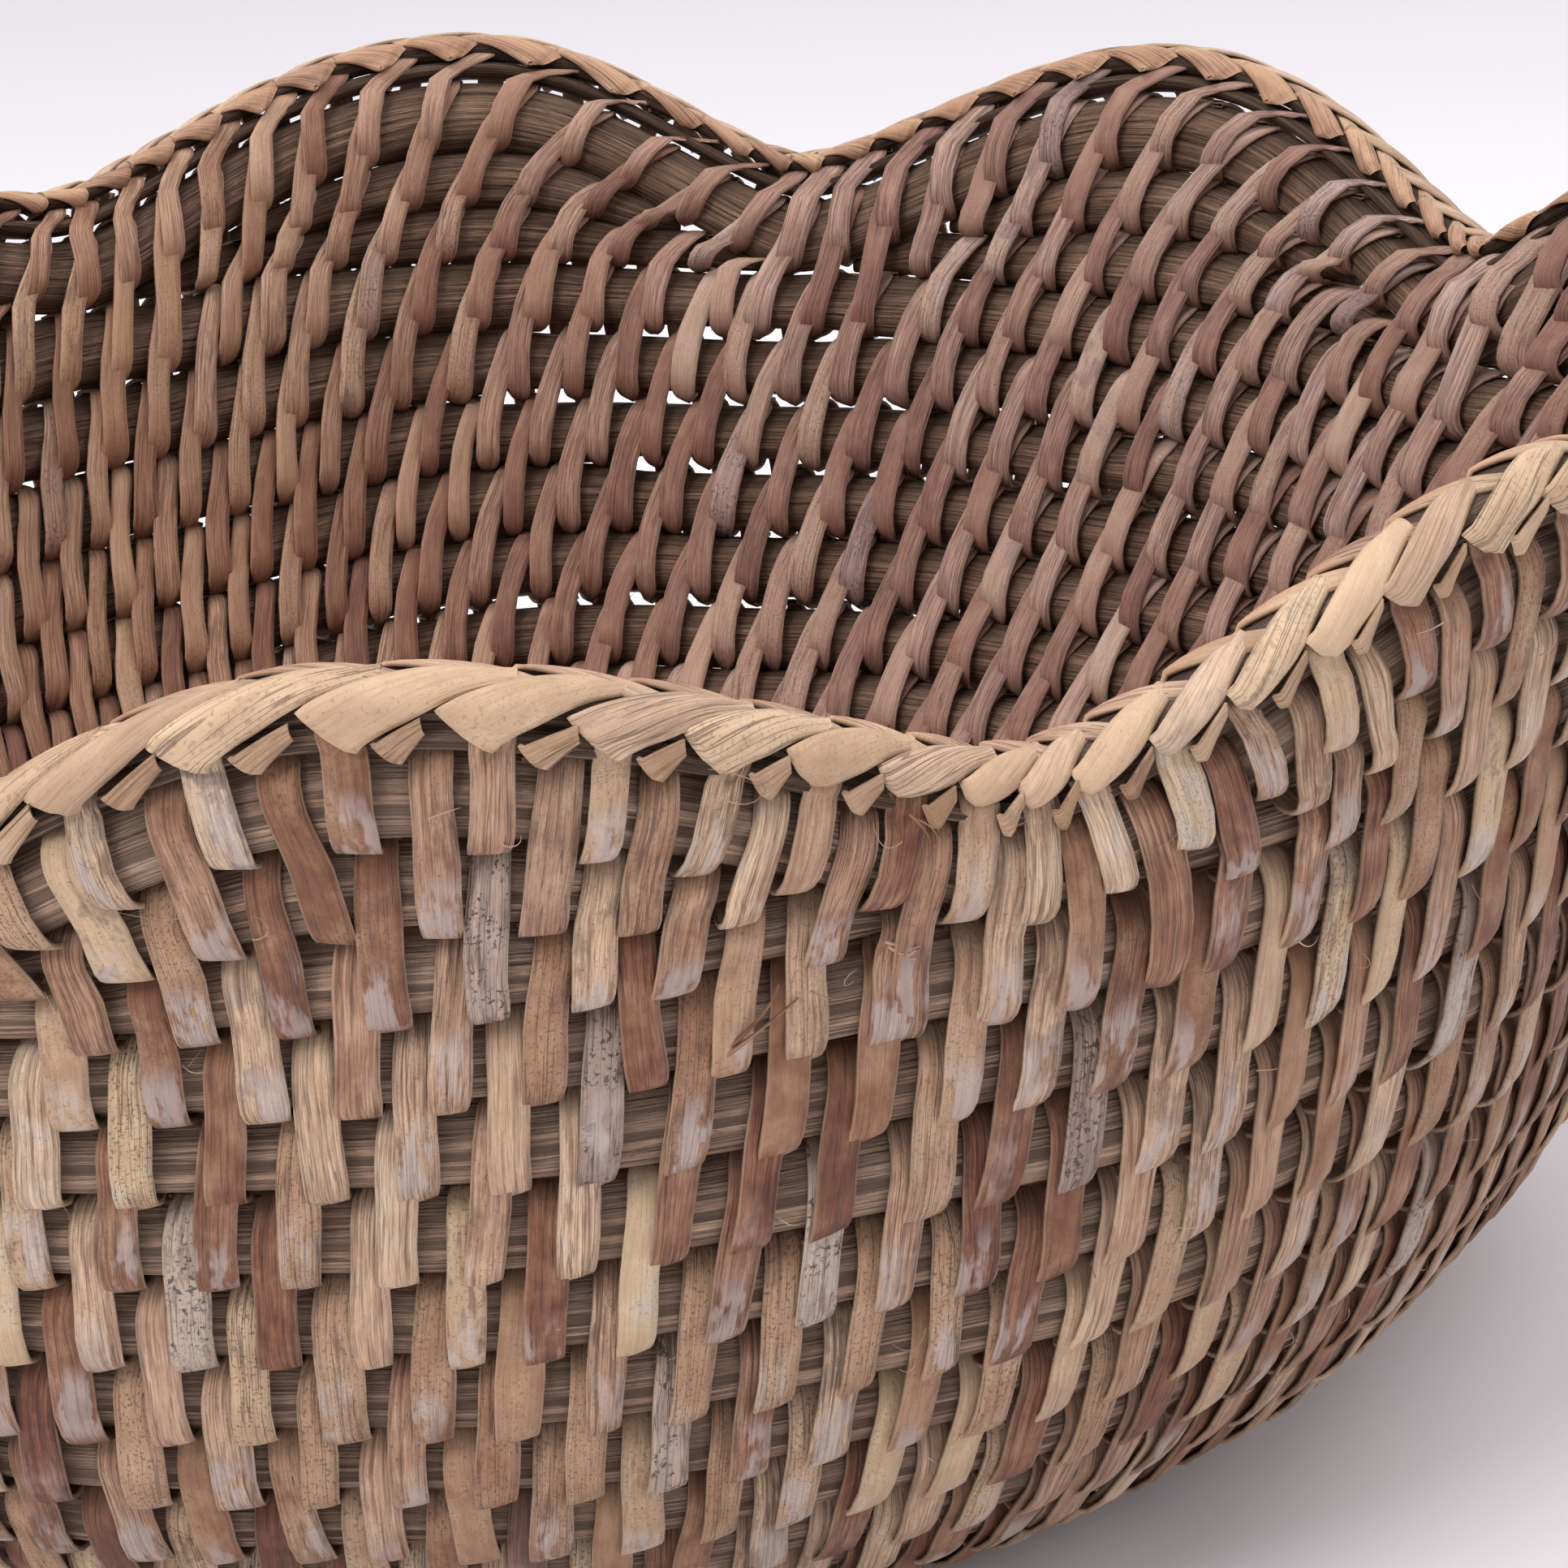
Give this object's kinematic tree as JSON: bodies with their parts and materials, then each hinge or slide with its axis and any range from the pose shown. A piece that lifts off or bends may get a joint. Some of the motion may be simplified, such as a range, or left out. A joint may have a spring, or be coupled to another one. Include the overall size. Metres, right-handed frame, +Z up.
{
  "type": "coiled basket",
  "caption": "Round open coiled cane basket with a scalloped rim, flaring curved wall, flat bottom and a plaited border strip.",
  "frame": {"origin": "centre of the flat underside of the start button, on the surface the basket stands on", "axes": "+Z up through the open mouth; the basket stands on the XY plane"},
  "size_m": [0.2721, 0.2891, 0.1224],
  "materials": {
    "core_cane": "raw fibrous cane core, matte",
    "cane_peel": "split cane peel, worn satin",
    "dark_cane": "dark aged cane, matte",
    "pale_peel": "pale cream flat peel, satin"
  },
  "bodies": {
    "root": {"base_spiral": "core_cane", "binding_strip_inside": "cane_peel", "binding_strip_outside": "cane_peel", "coil_end": "core_cane", "lobe_1_filler_lower": "core_cane", "lobe_1_filler_upper": "core_cane", "lobe_2_filler_lower": "core_cane", "lobe_2_filler_upper": "core_cane", "lobe_3_filler_lower": "core_cane", "lobe_3_filler_upper": "core_cane", "lobe_4_filler_lower": "core_cane", "lobe_4_filler_upper": "core_cane", "lobe_5_filler_lower": "core_cane", "lobe_5_filler_upper": "core_cane", "lobe_6_filler_lower": "core_cane", "lobe_6_filler_upper": "core_cane", "lobe_7_filler_upper": "core_cane", "lobe_8_filler_lower": "core_cane", "lobe_8_filler_upper": "core_cane", "rim_border": "pale_peel", "rim_core": "dark_cane", "start_button": "core_cane", "under_rim_coil": "core_cane", "wall_coil_01": "core_cane", "wall_coil_02": "core_cane", "wall_coil_03": "core_cane", "wall_coil_04": "core_cane", "wall_coil_05": "core_cane", "wall_coil_06": "core_cane", "wall_coil_07": "core_cane", "wall_coil_08": "core_cane", "wall_coil_09": "core_cane", "wall_coil_10": "core_cane", "wall_coil_11": "core_cane", "wall_coil_12": "core_cane", "wall_coil_13": "core_cane"}
  },
  "joints": []
}
